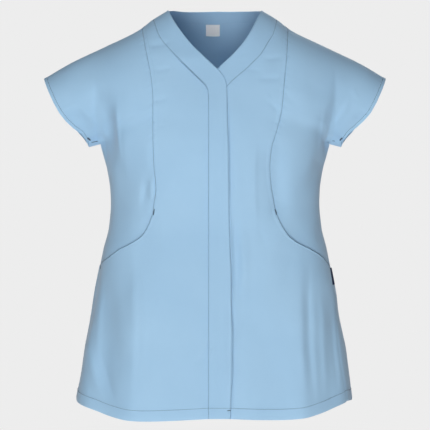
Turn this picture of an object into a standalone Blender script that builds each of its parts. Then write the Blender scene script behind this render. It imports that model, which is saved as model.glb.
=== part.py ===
"""A short work tunic, hollow, in the pose of the wearer it hangs on.

Units are metres, +Z is up, the front faces -Y and +X is the wearer's left.
The origin lies between the shoulders, at the height of the neck points.

Every piece lies on one of two surfaces, the front and the back, each given by its depth
from the plane of the side seams at any point (x, z) of the front view. The depth is that
of a body with rounded sections, joined softly to the tubes of the two cap sleeves. A piece
is a grid of front-view points between two edges, moved onto the surface, with a wall inside.
"""

import math

import bpy
import numpy as np

# Cloth and seams
WALL = 0.0014
BAND_WALL = 0.0020  # the bands are folded double
LABEL_WALL = 0.0010
SEAM_GAP = 0.0003

# The shoulder and overarm line, from the middle out
RIDGE = [  # distance from the middle, height
    (0.000, 0.030),
    (0.045, 0.024),
    (0.085, -0.001),
    (0.117, -0.021),
    (0.134, -0.0345),
    (0.202, -0.0685),
    (0.265, -0.0985),
    (0.312, -0.126),
    (0.370, -0.160),
]

# The body's sections
BODY = [  # height, half width, depth of the front, depth of the back
    (0.040, 0.2160, 0.085, 0.080),
    (-0.050, 0.2160, 0.088, 0.098),
    (-0.100, 0.2160, 0.098, 0.112),
    (-0.150, 0.2160, 0.113, 0.120),
    (-0.200, 0.2155, 0.126, 0.122),
    (-0.2455, 0.2095, 0.132, 0.118),
    (-0.267, 0.2039, 0.132, 0.115),
    (-0.293, 0.1969, 0.130, 0.111),
    (-0.333, 0.1911, 0.124, 0.106),
    (-0.353, 0.1904, 0.122, 0.104),
    (-0.398, 0.1940, 0.120, 0.108),
    (-0.4355, 0.2035, 0.123, 0.116),
    (-0.470, 0.2106, 0.128, 0.124),
    (-0.512, 0.2192, 0.135, 0.133),
    (-0.564, 0.2272, 0.143, 0.142),
    (-0.615, 0.2379, 0.151, 0.149),
    (-0.666, 0.2444, 0.158, 0.156),
    (-0.7075, 0.2507, 0.163, 0.160),
    (-0.760, 0.2580, 0.168, 0.165),
]
SQUARENESS = [  # height, power of the section: 2 is an ellipse, more is squarer
    (-0.360, 2.3),
    (-0.430, 2.7),
    (-0.520, 3.1),
    (-0.760, 3.2),
]
SHOULDER_ROUND = 0.120  # how far below the ridge the body reaches its full depth

# The cap sleeves
ARMPIT = (0.2095, -0.2455)
UNDERARM_SLOPE = 0.26
SLEEVE = [  # distance from the middle, half the tube's depth
    (0.030, 0.000),
    (0.100, 0.048),
    (0.165, 0.076),
    (0.205, 0.077),
    (0.245, 0.068),
    (0.312, 0.061),
]
SLEEVE_TOP_ROUND = 0.085
SLEEVE_UNDER_ROUND = 0.076
MERGE_POWER = 2.6  # how softly body and sleeve join
CUFF_FRONT = [  # height, distance from the middle
    (-0.126, 0.3120),
    (-0.149, 0.3020),
    (-0.192, 0.2800),
    (-0.217, 0.2600),
    (-0.233, 0.2420),
    (-0.243, 0.2335),
    (-0.252, 0.2305),
]
CUFF_BACK = [  # height, distance from the middle
    (-0.126, 0.3120),
    (-0.149, 0.3000),
    (-0.192, 0.2770),
    (-0.219, 0.2570),
    (-0.238, 0.2400),
    (-0.248, 0.2330),
    (-0.252, 0.2305),
]

# The hem, the same in front and behind
HEM = [  # distance from the middle, height
    (0.000, -0.7310),
    (0.107, -0.7325),
    (0.150, -0.7305),
    (0.185, -0.7235),
    (0.218, -0.7140),
    (0.2507, -0.7075),
    (0.270, -0.7050),
]

# How far in front of the side plane each side seam lies
SEAM_FORWARD = {
    "right": [(-0.300, 0.0), (-0.760, 0.0)],  # height, distance forward
    "left": [
        (-0.348, 0.000),
        (-0.404, 0.012),
        (-0.437, 0.028),
        (-0.470, 0.047),
        (-0.508, 0.064),
        (-0.570, 0.079),
        (-0.650, 0.094),
        (-0.760, 0.096),
    ],
}

# The seam between centre and side front, down to the pocket mouth
PRINCESS = {
    "right": [  # height, distance from the middle
        (-0.0345, 0.134),
        (-0.092, 0.122),
        (-0.135, 0.114),
        (-0.169, 0.111),
        (-0.228, 0.111),
        (-0.286, 0.109),
        (-0.329, 0.105),
        (-0.354, 0.108),
        (-0.374, 0.1105),
    ],
    "left": [
        (-0.0345, 0.134),
        (-0.091, 0.129),
        (-0.149, 0.123),
        (-0.189, 0.119),
        (-0.223, 0.111),
        (-0.262, 0.101),
        (-0.286, 0.100),
        (-0.315, 0.101),
        (-0.349, 0.106),
        (-0.374, 0.1105),
    ],
}
MOUTH = [  # distance from the middle, height
    (0.1105, -0.374),
    (0.118, -0.393),
    (0.131, -0.414),
    (0.148, -0.427),
    (0.170, -0.4375),
    (0.192, -0.451),
]
MOUTH_END = -0.467  # height at the side seam
POCKET_INNER = [  # height, distance from the middle: the hidden edge of the pocket's back
    (-0.374, 0.1105),
    (-0.420, 0.104),
    (-0.545, 0.104),
]
POCKET_BOTTOM = -0.545
POCKET_ROOM = 0.0016  # between the pocket's two layers
POCKET_TOP_RISE = (0.300, 0.360)  # how far below the origin the outer layer lifts off
POCKET_INNER_RISE = (0.060, 0.098)  # how far from the middle it lifts off
POCKET_FALL = (0.560, 0.605)  # how far below the origin it comes back in
POCKET_GAPE = 0.003
GAPE_CENTRE = (0.137, -0.418)
GAPE_SIZE = 0.030

# The neckband's outer seam; below the neckline it is the placket's seam
BAND_SEAM = {
    "right": [  # height, distance from the middle
        (-0.019, 0.1140),
        (-0.057, 0.0990),
        (-0.075, 0.0850),
        (-0.0925, 0.0697),
        (-0.1235, 0.0390),
        (-0.1387, 0.0235),
        (-0.147, 0.0159),
        (-0.1565, 0.0130),
        (-0.170, 0.0120),
        (-0.740, 0.0120),
    ],
    "left": [
        (-0.019, 0.1140),
        (-0.049, 0.1060),
        (-0.065, 0.0963),
        (-0.089, 0.0820),
        (-0.1036, 0.0680),
        (-0.121, 0.0500),
        (-0.1366, 0.0315),
        (-0.147, 0.0225),
        (-0.157, 0.0185),
        (-0.214, 0.0190),
        (-0.335, 0.0210),
        (-0.417, 0.0230),
        (-0.484, 0.0250),
        (-0.740, 0.0245),
    ],
}

# The other edge of each strip of neckband and placket
BAND_EDGE = {
    "right": [  # height of the seam, x and height of the edge across from it
        (-0.019, -0.0850, -0.0010),
        (-0.048, -0.0760, -0.0210),
        (-0.074, -0.0610, -0.0450),
        (-0.096, -0.0440, -0.0670),
        (-0.118, -0.0230, -0.0890),
        (-0.1387, -0.0010, -0.1105),
        (-0.149, 0.0110, -0.1230),
        (-0.1565, 0.0180, -0.1340),
        (-0.165, 0.0210, -0.1480),
        (-0.218, 0.0220, -0.2140),
        (-0.335, 0.0240, -0.3350),
        (-0.417, 0.0260, -0.4170),
        (-0.484, 0.0280, -0.4840),
        (-0.608, 0.0280, -0.6080),
        (-0.731, 0.0275, -0.7310),
    ],
    "left": [
        (-0.019, 0.0850, -0.0010),
        (-0.048, 0.0760, -0.0210),
        (-0.074, 0.0640, -0.0450),
        (-0.092, 0.0500, -0.0670),
        (-0.112, 0.0310, -0.0890),
        (-0.134, 0.0080, -0.1110),
        (-0.143, -0.0020, -0.1230),
        (-0.152, -0.0070, -0.1330),
        (-0.165, -0.0090, -0.1480),
        (-0.218, -0.0090, -0.2140),
        (-0.335, -0.0090, -0.3350),
        (-0.731, -0.0090, -0.7310),
    ],
}
LAP_RISE = (0.074, 0.100)  # how far below the origin the upper strip rises over the lower
LAP_GAP = 0.0004  # more room between the strips, because both are curved

# The band across the back neck
NECK_POINT = 0.085
BAND_END = 0.114
BACK_EDGE = [(0.0, 0.0030), (0.050, 0.0025), (0.074, 0.0015), (0.085, -0.0010)]
BACK_SEAM = [(0.0, -0.0180), (0.050, -0.0175), (0.090, -0.0175), (0.114, -0.0190)]

# Label and tag
LABEL = {"low_x": -0.017, "high_x": 0.009, "top": -0.0195, "bottom": -0.0390}
TAG = {"top": -0.471, "bottom": -0.501, "width": 0.014, "clear": 0.0055}

# The largest soft folds
FOLDS = [  # face, x and z of the upper end, x and z of the lower end, width, height
    ("front", -0.186, -0.440, -0.200, -0.720, 0.024, -0.0075),
    ("front", -0.136, -0.420, -0.142, -0.725, 0.022, 0.0055),
    ("front", 0.196, -0.460, 0.204, -0.720, 0.022, -0.0065),
    ("front", 0.148, -0.440, 0.152, -0.725, 0.022, 0.0045),
    ("front", 0.062, -0.560, 0.068, -0.730, 0.022, 0.0020),
    ("front", -0.196, -0.170, -0.190, -0.270, 0.013, -0.0055),
    ("front", 0.200, -0.185, 0.188, -0.275, 0.013, -0.0050),
    ("back", -0.150, -0.440, -0.175, -0.720, 0.026, -0.0065),
    ("back", -0.095, -0.420, -0.105, -0.725, 0.028, 0.0050),
    ("back", 0.145, -0.450, 0.170, -0.720, 0.026, -0.0060),
    ("back", 0.090, -0.430, 0.105, -0.725, 0.028, 0.0050),
    ("back", 0.010, -0.500, 0.015, -0.728, 0.030, -0.0035),
    ("back", -0.196, -0.175, -0.188, -0.275, 0.014, -0.0055),
    ("back", 0.196, -0.175, 0.188, -0.275, 0.014, -0.0055),
]
FOLD_CLEAR = 0.045  # a fold dies out where the surface comes this near the seams' plane

# Heights of the grids' rows. Pieces that share a seam share its rows
SHOULDER_DROPS = [0.001 * step * step for step in range(7)]  # below the ridge
PRINCESS_ROWS = [-0.092, -0.116, -0.140, -0.163, -0.184, -0.202, -0.216, -0.228, -0.240]
PRINCESS_ROWS += [-0.262, -0.290, -0.325, -0.350, -0.374]
BAND_ROWS = [-0.074, -0.0925, -0.112, -0.130, -0.1425, -0.152, -0.162, -0.176, -0.197]
BAND_ROWS += [-0.222, -0.255, -0.290, -0.322, -0.348, -0.370, -0.388, -0.405, -0.421]
BAND_ROWS += [-0.437, -0.453, -0.473, -0.496, -0.525, -0.562, -0.606, -0.650, -0.692, -0.731]
SIDE_ROWS = [-0.264, -0.290, -0.322, -0.348, -0.375, -0.404, -0.437, MOUTH_END, -0.508]
SIDE_ROWS += [POCKET_BOTTOM, -0.590, -0.635, -0.675, -0.7075]
CUFF_ROWS = [-0.174, -0.192, -0.208, -0.222, -0.234, -0.244]
POCKET_ROWS = [-0.400, -0.435, MOUTH_END, -0.508, POCKET_BOTTOM]
BACK_ROWS = [-0.062, -0.085, -0.110, -0.135, -0.160, -0.182, -0.200, -0.218, -0.236]
BACK_ROWS += [-0.262, -0.290, -0.324, -0.352, -0.380, -0.410, -0.445, -0.478, -0.520]
BACK_ROWS += [-0.560, -0.606, -0.652, -0.694, -0.731]
NECK_COLUMNS = np.sin(np.radians(np.linspace(0, 90, 7)))  # shares of the band's half length
BACK_COLUMNS = 13  # from the band's end to the side
SIDE_COLUMNS = 15
CENTRE_COLUMNS = 19
BAND_COLUMNS = 5
TRIM_GRID = 4  # rows and columns of the label and the tag
MOUTH_SHARES = (0.4, 0.75, 1.0)  # rows between the mouth's last point and the side seam
BEND = 0.35  # share of a grid's rows that follow the line of its end
SHARP_ANGLE = math.radians(40)
TINY = 1e-6
UNDERARM_MIDDLE = 0.219  # distance from the middle of the one row between cuff and armpit
CUFF_DROP = 0.8  # rows near the sleeve's top close up by this towards the cuff
LATE_FALL = 3  # rows that end low on the cuff fall late, so that they clear the underarm
LATE_HEIGHTS = (0.200, 0.245)  # how far below the origin that begins and is full

SIGN = {"right": -1, "left": 1}
FORWARD = {"front": -1, "back": 1}
COLOURS = {
    "cloth": (0.36, 0.55, 0.74),
    "band": (0.37, 0.56, 0.75),
    "label": (0.85, 0.85, 0.84),
    "tag": (0.015, 0.035, 0.11),
}


def smooth(table, at, column=1):
    """Read a column of a table at given places of its first column, without overshoot."""
    rows = np.array(sorted(table), float)
    x, y = rows[:, 0], rows[:, column]
    step = np.diff(x)
    slope = np.diff(y) / step
    tangent = np.concatenate([slope[:1], np.zeros(len(x) - 2), slope[-1:]])
    for i in range(1, len(x) - 1):
        if slope[i - 1] * slope[i] > 0:
            near, far = 2 * step[i] + step[i - 1], step[i] + 2 * step[i - 1]
            tangent[i] = (near + far) / (near / slope[i - 1] + far / slope[i])
    at = np.clip(np.asarray(at, float), x[0], x[-1])
    i = np.clip(np.searchsorted(x, at) - 1, 0, len(x) - 2)
    s = (at - x[i]) / step[i]
    start = (1 + 2 * s) * y[i] + s * step[i] * tangent[i]
    end = (3 - 2 * s) * y[i + 1] + (s - 1) * step[i] * tangent[i + 1]
    return start * (1 - s) ** 2 + end * s * s


def ramp(value, low, high):
    """0 at low, 1 at high, with a soft start and end."""
    s = np.clip((np.asarray(value, float) - low) / (high - low), 0, 1)
    return s * s * (3 - 2 * s)


def arch(s):
    """A quarter circle: 0 at 0, 1 from 1 on."""
    s = np.clip(s, 0, 1)
    return np.sqrt(1 - (1 - s) ** 2)


def ridge(x):
    """Height of the shoulder line."""
    return smooth(RIDGE, np.abs(x))


def hem(x):
    """Height of the hem."""
    return smooth(HEM, np.abs(x))


def back_top(x):
    """Height of the back panel's upper edge: the neck seam, then the shoulder line."""
    return np.where(np.abs(x) < BAND_END, smooth(BACK_SEAM, np.abs(x)), ridge(x))


def underarm(x):
    """Height of the sleeve's underside."""
    return ARMPIT[1] - UNDERARM_SLOPE * (x - ARMPIT[0])


def folds(face, x, z):
    """Height of the soft folds at front-view points."""
    height = np.zeros(np.shape(x))
    for where, x0, z0, x1, z1, width, tall in FOLDS:
        if where == face:
            length = math.hypot(x1 - x0, z1 - z0)
            aim_x, aim_z = (x1 - x0) / length, (z1 - z0) / length
            along = np.clip((x - x0) * aim_x + (z - z0) * aim_z, 0, length)
            away = np.hypot(x - x0 - along * aim_x, z - z0 - along * aim_z)
            height = height + tall * ramp(along, 0, length / 2) * np.exp(-((away / width) ** 2))
    return height


def section_root(share, z):
    """The other coordinate of the body's section, where both are shares of their largest."""
    power = smooth(SQUARENESS, z)
    return np.maximum(0, 1 - share**power) ** (1 / power)


def depth(face, x, z):
    """How far the surface stands from the side seams' plane at front-view points."""
    out = np.abs(x)
    below = np.maximum(ridge(x) - z, 0)
    full = smooth(BODY, z, 2 if face == "front" else 3)
    body = full * section_root(out / smooth(BODY, z), z) * arch(below / SHOULDER_ROUND)
    over = arch((z - underarm(out)) / SLEEVE_UNDER_ROUND)
    sleeve = smooth(SLEEVE, out) * arch(below / SLEEVE_TOP_ROUND) * over
    joined = (body**MERGE_POWER + sleeve**MERGE_POWER) ** (1 / MERGE_POWER)
    return joined + folds(face, x, z) * ramp(joined, 0, FOLD_CLEAR)


def on_surface(face, x, z, gap=SEAM_GAP / 2):
    """Points of a surface and its outward normals, also where it turns over at a seam."""
    nudge = 0.0002
    d = depth(face, x, z)
    across = (depth(face, x + nudge, z) ** 2 - depth(face, x - nudge, z) ** 2) / (2 * nudge)
    up = (depth(face, x, z + nudge) ** 2 - depth(face, x, z - nudge) ** 2) / (2 * nudge)
    normal = np.stack([-across, FORWARD[face] * 2 * d, -up], axis=-1)
    normal /= np.linalg.norm(normal, axis=-1, keepdims=True)
    return np.stack([x, FORWARD[face] * (d + gap), z], axis=-1), normal


def seam_angle(side, z):
    """Angle round the front section at which the side seam lies: 90 degrees is the side."""
    share = smooth(SEAM_FORWARD[side], z) / smooth(BODY, z, 2)
    return np.arcsin(section_root(share, z))


def side_seam(side, z):
    """Distance of the side seam from the middle."""
    return smooth(BODY, z) * np.sin(seam_angle(side, z))


def bent(z, x, share, top, bottom):
    """Heights of a grid, bent to the lines that its first and its last row follow."""
    down = np.linspace(0, 1, len(x))[:, None]
    for line, weight in ((top, 1 - ramp(down, 0, BEND)), (bottom, ramp(down, 1 - BEND, 1))):
        if line is not None:
            first, last = line(x[:, :1]), line(x[:, -1:])
            z = z + weight * (line(x) - first - (last - first) * share)
    return z


def between(inner, outer, columns, top=None, bottom=None):
    """Front-view points between two edges, evenly spread."""
    inner, outer = np.array(inner, float)[:, :, None], np.array(outer, float)[:, :, None]
    share = np.linspace(0, 1, columns)
    grid = inner + (outer - inner) * share
    return grid[:, 0], bent(grid[:, 1], grid[:, 0], share, top, bottom)


def around(inner, outer, columns, top=None, bottom=None, last=None):
    """Front-view points between two edges, spread by the angle round the body's section.

    A row that ends on a sleeve's edge takes that edge for the section's side. Returns x, z
    and the angles, where more than 90 degrees lies past the side of the section.
    """
    inner, outer = np.array(inner, float), np.array(outer, float)
    columns = np.asarray(columns)
    on_body = outer[:, 0] <= smooth(BODY, outer[:, 1]) + SEAM_GAP
    inner_reach = np.where(on_body, smooth(BODY, inner[:, 1]), outer[:, 0])
    outer_reach = np.where(on_body, smooth(BODY, outer[:, 1]), outer[:, 0])
    first = np.arcsin(inner[:, 0] / inner_reach)
    if last is None:
        last = np.arcsin(np.minimum(1, outer[:, 0] / outer_reach))
    turn = first[:, None] + (last - first)[:, None] * columns
    share = (np.sin(turn) - np.sin(first)[:, None]) / (np.sin(last) - np.sin(first))[:, None]
    share = np.where(on_body[:, None], columns, share)
    late = np.where(on_body, 1, 1 + LATE_FALL * ramp(-outer[:, 1], *LATE_HEIGHTS))
    z = inner[:, 1:] + (outer[:, 1:] - inner[:, 1:]) * share ** late[:, None]
    rough_x = np.where(on_body[:, None], smooth(BODY, z), outer[:, :1]) * np.sin(turn)
    rough_share = (rough_x - rough_x[:, :1]) / np.ptp(rough_x, axis=1)[:, None]
    z = bent(z, rough_x, rough_share, top, bottom)
    x = np.where(on_body[:, None], smooth(BODY, z), outer[:, :1]) * np.sin(turn)
    return x, z, turn


def material(colour):
    """The plain material of a piece."""
    made = bpy.data.materials.get(colour)
    if made is None:
        made = bpy.data.materials.new(colour)
        made.use_nodes = True
        shader = made.node_tree.nodes["Principled BSDF"]
        shader.inputs["Base Color"].default_value = (*COLOURS[colour], 1)
        shader.inputs["Roughness"].default_value = 0.85
        shader.inputs["Metallic"].default_value = 0.0
    return made


def enclosed(mesh):
    """The volume that a mesh encloses, negative where its faces point in."""
    mesh.calc_loop_triangles()
    total = 0.0
    for triangle in mesh.loop_triangles:
        a, b, c = (mesh.vertices[i].co for i in triangle.vertices)
        total += a.dot(b.cross(c)) / 6
    return total


def sheet(name, surface, lift, wall, colour):
    """A closed solid from a grid on a surface: its outer side lifted, the wall inside it."""
    points, normals = surface
    lift = np.broadcast_to(lift, points.shape[:2])[..., None]
    rows, columns = points.shape[:2]
    count = rows * columns
    corners = np.concatenate([points + normals * lift, points + normals * (lift - wall)])
    grid = np.arange(count).reshape(rows, columns)
    quads = np.stack([grid[:-1, :-1], grid[1:, :-1], grid[1:, 1:], grid[:-1, 1:]], axis=-1)
    faces = quads.reshape(-1, 4).tolist()
    faces += (quads.reshape(-1, 4)[:, ::-1] + count).tolist()
    rim = [*grid[0, :], *grid[1:, -1], *grid[-1, -2::-1], *grid[-2:0:-1, 0]]
    for a, b in zip(rim, rim[1:] + rim[:1]):
        faces.append([int(a), int(b), int(b) + count, int(a) + count])
    mesh = bpy.data.meshes.new(name)
    mesh.from_pydata(corners.reshape(-1, 3).tolist(), [], faces)
    if enclosed(mesh) < 0:
        mesh.flip_normals()
    mesh.shade_smooth()
    mesh.set_sharp_from_angle(angle=SHARP_ANGLE)
    mesh.materials.append(material(colour))
    piece = bpy.data.objects.new(name, mesh)
    bpy.data.collections["work_tunic"].objects.link(piece)


def seam_points(table, rows, shift=0.0):
    """Front-view points down a seam that starts on the shoulder line."""
    start = max(table)[0]
    points = []
    for drop in SHOULDER_DROPS:
        x = float(smooth(table, start - drop)) + shift
        points.append((x, float(ridge(x)) - drop))
    return points + [(float(smooth(table, z)) + shift, z) for z in rows]


def cuff_points(table):
    """Front-view points down the cuff from the shoulder line, and on to the armpit."""
    points = []
    for drop in SHOULDER_DROPS:
        z = table[0][0] - CUFF_DROP * drop
        x = float(smooth(table, z))
        points.append((x, z if drop else float(ridge(x))))
    points += [(float(smooth(table, z)), z) for z in CUFF_ROWS]
    for x in (table[-1][1], UNDERARM_MIDDLE, ARMPIT[0]):
        points.append((x, underarm(x)))
    return points


def side_points(side, rows):
    """Front-view points down the side seam."""
    return [(float(side_seam(side, z)), z) for z in rows]


def mouth_points(side):
    """Front-view points down the pocket mouth's edge to where it meets the side seam."""
    last_x, last_z = MOUTH[-1]
    start = math.asin(last_x / smooth(BODY, last_z))
    points = list(MOUTH[1:])
    for share in MOUTH_SHARES:
        z = last_z + (MOUTH_END - last_z) * share
        turn = start + (seam_angle(side, MOUTH_END) - start) * share
        points.append((float(smooth(BODY, z) * np.sin(turn)), z))
    return points


def pocket_lift(x, z):
    """How far the centre front stands out where it lies on the pocket's back layer."""
    out = np.abs(x)
    over = (WALL + POCKET_ROOM) * ramp(-z, *POCKET_TOP_RISE) * ramp(out, *POCKET_INNER_RISE)
    over = over * (1 - ramp(-z, *POCKET_FALL))
    away = np.hypot(out - GAPE_CENTRE[0], z - GAPE_CENTRE[1])
    return over + POCKET_GAPE * np.exp(-((away / GAPE_SIZE) ** 2))


def side_front(side):
    """The side front with its cap sleeve, which runs on down behind the pocket mouth."""
    inner = seam_points(PRINCESS[side], PRINCESS_ROWS, SEAM_GAP / 2)
    inner += [(float(smooth(POCKET_INNER, z)), z) for z in POCKET_ROWS]
    down_to_pocket = [z for z in SIDE_ROWS if z >= POCKET_BOTTOM]
    outer = cuff_points(CUFF_FRONT) + side_points(side, down_to_pocket)
    x, z, _ = around(inner, outer, np.linspace(0, 1, SIDE_COLUMNS), top=ridge)
    surface = on_surface("front", SIGN[side] * x, z)
    sheet("front_side_" + side, surface, 0.0, WALL, "cloth")


def centre_front(side):
    """The centre front, which widens to the side seam below the pocket mouth."""
    inner = seam_points(BAND_SEAM[side], BAND_ROWS, SEAM_GAP / 2)
    outer = seam_points(PRINCESS[side], PRINCESS_ROWS, -SEAM_GAP / 2)
    below_mouth = [z for z in SIDE_ROWS if z < MOUTH_END]
    outer += mouth_points(side) + side_points(side, below_mouth)
    x, z, _ = around(inner, outer, np.linspace(0, 1, CENTRE_COLUMNS), ridge, hem)
    surface = on_surface("front", SIGN[side] * x, z)
    sheet("front_centre_" + side, surface, pocket_lift(x, z), WALL, "cloth")


def front_band(side):
    """The strip of neckband and placket; the right one laps over the left one."""
    seam = seam_points(BAND_SEAM[side], BAND_ROWS, -SEAM_GAP / 2)
    edge = []
    for row, (x, z) in enumerate(seam):
        edge_x = float(smooth(BAND_EDGE[side], z, 1))
        edge_z = float(smooth(BAND_EDGE[side], z, 2))
        if row < len(SHOULDER_DROPS):
            edge_z = float(ridge(edge_x)) - SHOULDER_DROPS[row]
        edge.append((edge_x, edge_z))
    seam = [(SIGN[side] * x, z) for x, z in seam]
    x, z = between(edge, seam, BAND_COLUMNS, top=ridge)
    lift = 0.0
    if side == "right":
        lift = SEAM_GAP + (BAND_WALL + LAP_GAP) * ramp(-z, *LAP_RISE)
    sheet("front_band_" + side, on_surface("front", x, z), lift, BAND_WALL, "band")


def back_neckband():
    """The band across the back neck, from shoulder to shoulder."""
    edge, seam = [], []
    for share in [*-NECK_COLUMNS[:0:-1], *NECK_COLUMNS]:
        edge_x, seam_x = NECK_POINT * share, (BAND_END - SEAM_GAP) * share
        edge.append((edge_x, float(smooth(BACK_EDGE, abs(edge_x)))))
        seam.append((seam_x, float(smooth(BACK_SEAM, abs(seam_x))) + SEAM_GAP))
    for end in (0, -1):
        edge[end] = (edge[end][0], float(ridge(edge[end][0])))
        seam[end] = (seam[end][0], float(ridge(seam[end][0])))
    x, z = between(edge, seam, BAND_COLUMNS, top=ridge, bottom=ridge)
    sheet("back_neckband", on_surface("back", x, z), 0.0, BAND_WALL, "band")


def back_half(side):
    """Points and normals of one half of the back, from the middle to the seams."""
    top = [back_top(0) - CUFF_DROP * drop for drop in SHOULDER_DROPS]
    inner = [(0.0, float(z)) for z in top] + [(0.0, z) for z in BACK_ROWS]
    sleeve = cuff_points(CUFF_BACK)
    outer = sleeve + [(float(smooth(BODY, z)), z) for z in SIDE_ROWS]
    last = [math.pi / 2] * len(sleeve) + [math.pi - seam_angle(side, z) for z in SIDE_ROWS]
    neck = np.arcsin(NECK_COLUMNS * BAND_END / CUFF_BACK[0][1]) / (math.pi / 2)
    columns = [*neck, *np.linspace(neck[-1], 1, BACK_COLUMNS)[1:]]
    x, z, turn = around(inner, outer, columns, back_top, hem, np.array(last))
    x = SIGN[side] * x
    points, normals = on_surface("back", x, z)
    past = turn > math.pi / 2 + TINY
    front_points, front_normals = on_surface("front", x, z, -SEAM_GAP / 2)
    points[past], normals[past] = front_points[past], front_normals[past]
    return points, normals


def back():
    """The back with both cap sleeves, in one piece."""
    right_points, right_normals = back_half("right")
    left_points, left_normals = back_half("left")
    points = np.concatenate([right_points[:, ::-1], left_points[:, 1:]], axis=1)
    normals = np.concatenate([right_normals[:, ::-1], left_normals[:, 1:]], axis=1)
    sheet("back", (points, normals), 0.0, WALL, "cloth")


def neck_label():
    """The label that hangs from the neck seam on the inside of the back."""
    x, z = np.meshgrid(
        np.linspace(LABEL["low_x"], LABEL["high_x"], TRIM_GRID),
        np.linspace(LABEL["top"], LABEL["bottom"], TRIM_GRID),
    )
    sheet("neck_label", on_surface("back", x, z), -WALL - SEAM_GAP, LABEL_WALL, "label")


def side_tag():
    """The folded tag in the wearer's left side seam, which lies back along the side."""
    z, back_off = np.meshgrid(
        np.linspace(TAG["top"], TAG["bottom"], TRIM_GRID),
        np.linspace(TAG["clear"], TAG["clear"] + TAG["width"], TRIM_GRID),
    )
    forward = smooth(SEAM_FORWARD["left"], z) - back_off
    x = smooth(BODY, z) * section_root(forward / smooth(BODY, z, 2), z)
    sheet("side_tag", on_surface("front", x, z), SEAM_GAP + LABEL_WALL, LABEL_WALL, "tag")


def main():
    for old in list(bpy.data.objects):
        bpy.data.objects.remove(old)
    tunic = bpy.data.collections.new("work_tunic")
    bpy.context.scene.collection.children.link(tunic)
    for side in ("right", "left"):
        side_front(side)
        centre_front(side)
        front_band(side)
    back_neckband()
    back()
    neck_label()
    side_tag()


main()
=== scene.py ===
"""The looks of a light-blue work tunic: fine cloth shells, seams, hems and stitches.

Units are metres, +Z is up, the front faces -Y and +X is the wearer's left. The cloth lies on
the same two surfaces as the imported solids, the front and the back, each given by its depth at
a point (x, z) of the front view. A piece is a fine grid on its surface, raised by creases,
seam edges and turned hems, with a thin wall. Stitches are small threads laid on the grids.
"""

import math

import bpy
import numpy as np
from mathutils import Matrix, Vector
from numpy.linalg import norm


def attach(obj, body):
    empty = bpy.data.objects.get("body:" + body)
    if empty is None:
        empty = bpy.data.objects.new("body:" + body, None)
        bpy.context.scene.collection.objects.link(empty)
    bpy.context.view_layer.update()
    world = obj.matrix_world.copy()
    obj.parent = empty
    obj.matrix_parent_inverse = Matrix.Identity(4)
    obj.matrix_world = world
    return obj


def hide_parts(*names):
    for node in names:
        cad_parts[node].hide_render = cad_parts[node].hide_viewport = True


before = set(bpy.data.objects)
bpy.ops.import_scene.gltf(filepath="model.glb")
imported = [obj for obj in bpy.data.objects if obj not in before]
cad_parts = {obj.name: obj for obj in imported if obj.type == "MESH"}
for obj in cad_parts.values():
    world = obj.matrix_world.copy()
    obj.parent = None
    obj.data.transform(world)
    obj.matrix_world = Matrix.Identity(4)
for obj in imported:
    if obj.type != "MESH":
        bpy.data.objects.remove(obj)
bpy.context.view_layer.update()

# The photograph's frame
PIXELS = 430
PIXEL = 0.00183  # metres a pixel in the plane of the side seams
ORIGIN_ROW = 10  # the pixel row of the origin
CAMERA_AWAY = 3.5
SENSOR = 36.0  # millimetres

# Cloth
CLOTH = 0.0006  # its thickness
BAND_CLOTH = 0.0012  # folded double
SEAM_LAP = 0.0002  # neighbours run this far past the seam's middle


def metres(rows):
    """A table that is given in thousandths: millimetres, or thousandths of a share."""
    return [tuple(value / 1000 for value in row) for row in rows]


def below_origin(*millimetres):
    """Heights, from how far below the origin they are in millimetres."""
    return [-far / 1000 for far in millimetres]


# ---- the form, as in the solids
RIDGE = metres([  # distance from the middle, height
    (0, 30), (45, 24), (85, -1), (117, -21), (134, -34.5), (202, -68.5), (265, -98.5),
    (312, -126), (370, -160),
])
BODY = metres([  # height, half width, depth of the front, depth of the back
    (40, 216, 85, 80), (-50, 216, 88, 98), (-100, 216, 98, 112), (-150, 216, 113, 120),
    (-200, 215.5, 126, 122), (-245.5, 209.5, 132, 118), (-267, 203.9, 132, 115),
    (-293, 196.9, 130, 111), (-333, 191.1, 124, 106), (-353, 190.4, 122, 104),
    (-398, 194, 120, 108), (-435.5, 203.5, 123, 116), (-470, 210.6, 128, 124),
    (-512, 219.2, 135, 133), (-564, 227.2, 143, 142), (-615, 237.9, 151, 149),
    (-666, 244.4, 158, 156), (-707.5, 250.7, 163, 160), (-760, 258, 168, 165),
])
SQUARENESS = [  # height, power of the section: 2 is an ellipse, more is squarer
    (-0.360, 2.3), (-0.430, 2.7), (-0.520, 3.1), (-0.760, 3.2),
]
SHOULDER_ROUND = 0.120
ARMPIT = (0.2095, -0.2455)
UNDERARM_SLOPE = 0.26
SLEEVE = metres([  # distance from the middle, half the tube's depth
    (30, 0), (100, 48), (165, 76), (205, 77), (245, 68), (312, 61),
])
SLEEVE_TOP_ROUND = 0.085
SLEEVE_UNDER_ROUND = 0.076
SOFT_START = 0.45  # share of that round over which the sleeve sets in softly on the body
SOFT_INSIDE = (0.185, 0.2075)  # how far from the middle that softening ends
MERGE_POWER = 2.6
CUFF_FRONT = metres([  # height, distance from the middle
    (-126, 312), (-149, 302), (-192, 280), (-217, 260), (-233, 242), (-243, 233.5),
    (-252, 230.5),
])
CUFF_BACK = metres([  # height, distance from the middle
    (-126, 312), (-149, 300), (-192, 277), (-219, 257), (-238, 240), (-248, 233), (-252, 230.5),
])
HEM = metres([  # distance from the middle, height
    (0, -731), (107, -732.5), (150, -730.5), (185, -723.5), (218, -714), (250.7, -707.5),
    (270, -705),
])
SEAM_FORWARD = {  # height, distance forward
    "right": metres([(-300, 0), (-760, 0)]),
    "left": metres([
        (-348, 0), (-404, 12), (-437, 28), (-470, 47), (-508, 64), (-570, 79), (-650, 94),
        (-760, 96),
    ]),
}
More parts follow.
